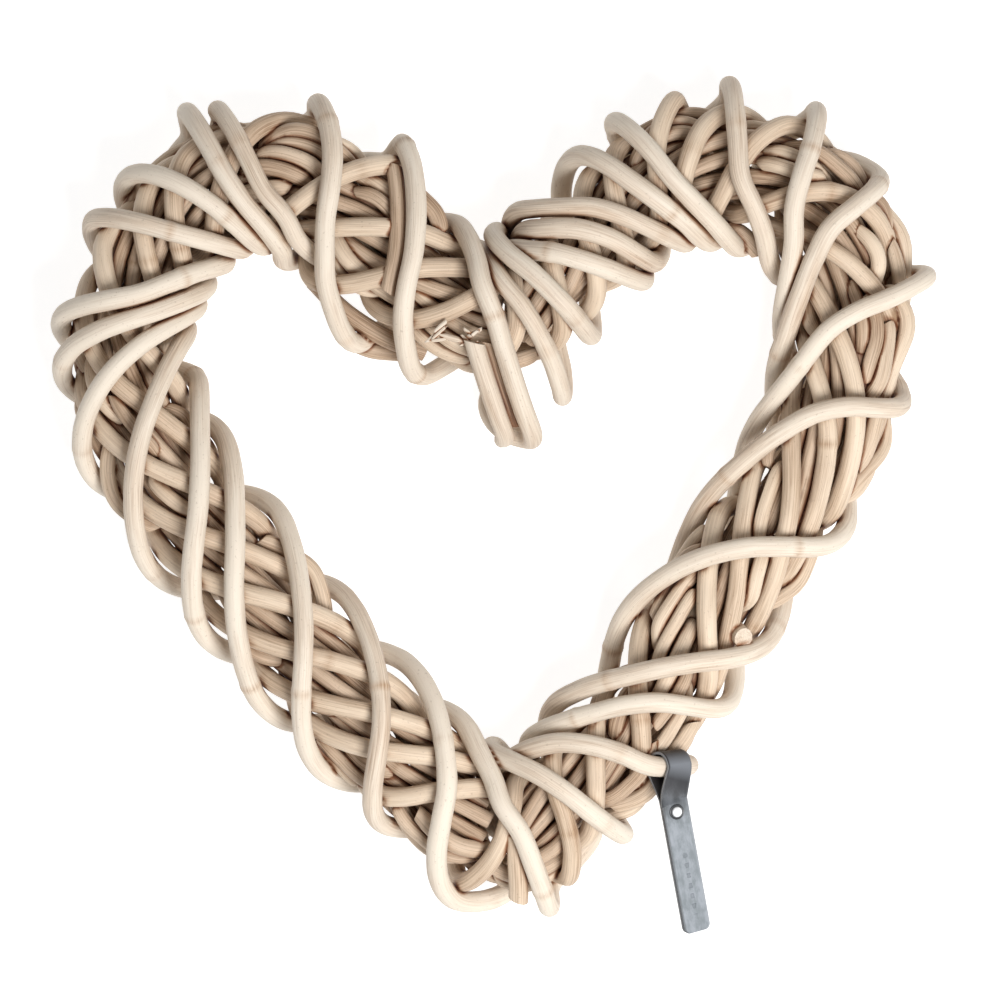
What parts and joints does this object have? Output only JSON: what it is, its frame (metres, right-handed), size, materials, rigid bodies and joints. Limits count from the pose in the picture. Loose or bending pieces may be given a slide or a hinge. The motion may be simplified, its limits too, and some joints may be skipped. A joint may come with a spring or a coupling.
{
  "type": "rattan heart wreath",
  "caption": "Heart-shaped wreath of whitewashed rattan canes wound round one another, with a folded leather tag snapped round one cane; lies flat on its back or hangs on a hook.",
  "frame": {"origin": "middle of the underside on which the heart lies", "axes": "+X across the heart to its right, +Y up to its two lobes, +Z out of its front face"},
  "size_m": [0.4822, 0.4672, 0.0896],
  "materials": {
    "rattan_core": "bare peeled rattan, darkened in the shade of the windings",
    "rattan_under": "peeled rattan with a thin whitewash, matte",
    "rattan_wrap": "peeled rattan with a whitewash, matte, fine lengthwise grain",
    "tag_leather": "smooth blue-grey leather with a soft sheen and cut edges",
    "snap_metal": "satin nickel-coloured metal"
  },
  "bodies": {
    "root": {"core_cane_left_1": "rattan_core", "core_cane_left_2": "rattan_core", "core_cane_left_3": "rattan_core", "core_cane_left_4": "rattan_core", "core_cane_left_5": "rattan_core", "core_cane_left_6": "rattan_core", "core_cane_left_7": "rattan_core", "core_cane_left_8": "rattan_core", "core_cane_right_1": "rattan_core", "core_cane_right_2": "rattan_core", "core_cane_right_3": "rattan_core", "core_cane_right_4": "rattan_core", "core_cane_right_5": "rattan_core", "core_cane_right_6": "rattan_core", "core_cane_right_7": "rattan_core", "core_cane_right_8": "rattan_core", "under_cane_01": "rattan_under", "under_cane_02": "rattan_under", "under_cane_03": "rattan_under", "under_cane_04": "rattan_under", "under_cane_05": "rattan_under", "under_cane_06": "rattan_under", "under_cane_07": "rattan_under", "under_cane_08": "rattan_under", "wrap_cane_01": "rattan_wrap", "wrap_cane_02": "rattan_wrap", "wrap_cane_03": "rattan_wrap", "wrap_cane_04": "rattan_wrap", "wrap_cane_05": "rattan_wrap", "wrap_cane_06": "rattan_wrap", "wrap_cane_07": "rattan_wrap", "wrap_cane_08": "rattan_wrap", "wrap_cane_09": "rattan_wrap", "wrap_cane_10": "rattan_wrap", "wrap_cane_11": "rattan_wrap", "wrap_cane_12": "rattan_wrap", "tag_strap": "tag_leather", "tag_snap_cap": "snap_metal", "tag_snap_ring": "snap_metal"}
  },
  "joints": []
}
